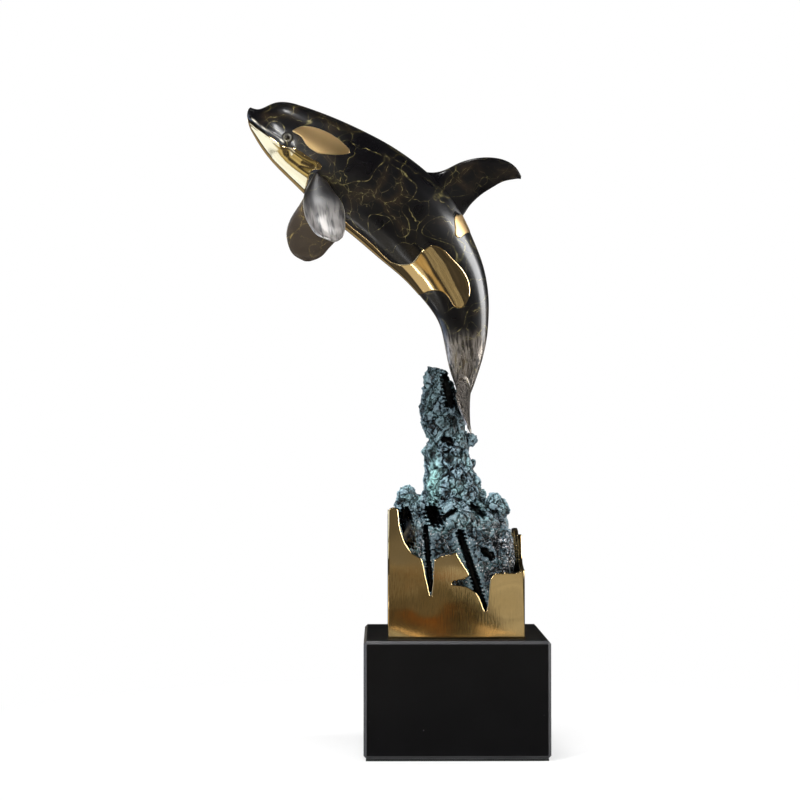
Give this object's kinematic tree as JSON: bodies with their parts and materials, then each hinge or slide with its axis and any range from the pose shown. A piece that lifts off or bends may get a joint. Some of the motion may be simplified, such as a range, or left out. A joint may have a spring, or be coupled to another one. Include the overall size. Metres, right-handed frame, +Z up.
{
  "type": "whale figurine",
  "caption": "Figurine of an orca with brass markings, leaping from a rough water column that rises out of a torn brass block, on a square black stone plinth.",
  "frame": {"origin": "middle of the felt's underside, on the surface that the figurine stands on", "axes": "+Z up, -X towards the orca's head, -Y towards the orca's left flank"},
  "size_m": [0.2649, 0.1617, 0.5756],
  "materials": {
    "black_marble": "polished black marble",
    "polished_brass": "mirror polished",
    "black_patina": "black patina with golden veins, waxed",
    "verdigris": "rough cast, blue-green patina",
    "steel": "zinc plated",
    "felt": "felt"
  },
  "bodies": {
    "root": {"felt_pad": "felt", "plinth": "black_marble", "base_washers": "steel", "base_bolts": "steel", "base_block": "polished_brass", "column_screws": "steel", "water_column": "verdigris", "support_rod": "steel", "rod_washer": "steel", "rod_nut": "steel", "orca_body": "black_patina", "dorsal_fin": "black_patina", "flipper_left": "black_patina", "flipper_right": "black_patina", "tail_flukes": "black_patina", "dorsal_dowels": "steel", "flipper_dowels": "steel", "throat_inlay": "polished_brass", "belly_inlay": "polished_brass", "eye_patch_left": "polished_brass", "eye_patch_right": "polished_brass", "saddle_inlay": "polished_brass"}
  },
  "joints": []
}
